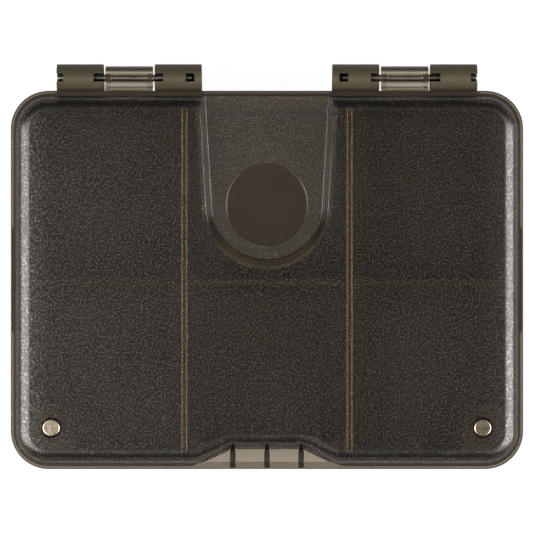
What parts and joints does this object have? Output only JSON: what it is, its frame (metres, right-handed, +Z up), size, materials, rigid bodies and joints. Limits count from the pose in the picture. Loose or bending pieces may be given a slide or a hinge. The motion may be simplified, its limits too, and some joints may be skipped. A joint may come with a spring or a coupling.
{
  "type": "tackle box",
  "caption": "Flat hinged box with a drafted tray of wells between thin dividers, and a domed see-through lid shut by magnets.",
  "frame": {"origin": "middle of the tray's flat underside", "axes": "+Z up; +X along the box's length; +Y towards the hinges at the back, -Y towards the thumb notch"},
  "size_m": [0.105, 0.0831, 0.025],
  "materials": {
    "olive_moulding": "opaque moulded plastic, fine satin grain",
    "smoked_moulding": "smoked see-through plastic, fine textured top, glossy edges and seat",
    "pin_steel": "drawn steel wire",
    "magnet_nickel": "nickel plate, lightly worn"
  },
  "bodies": {
    "base": {"base_tray": "olive_moulding", "hinge_pin_left": "pin_steel", "hinge_pin_right": "pin_steel", "base_magnet_left": "magnet_nickel", "base_magnet_right": "magnet_nickel"},
    "lid": {"lid": "smoked_moulding", "lid_magnet_left": "magnet_nickel", "lid_magnet_right": "magnet_nickel"}
  },
  "joints": [
    {"name": "lid_hinge", "type": "hinge", "parent": "base", "child": "lid", "pos_m": [0, 0.0415, 0.0193], "axis": [-1, 0, 0], "range_deg": [0, 180]}
  ]
}
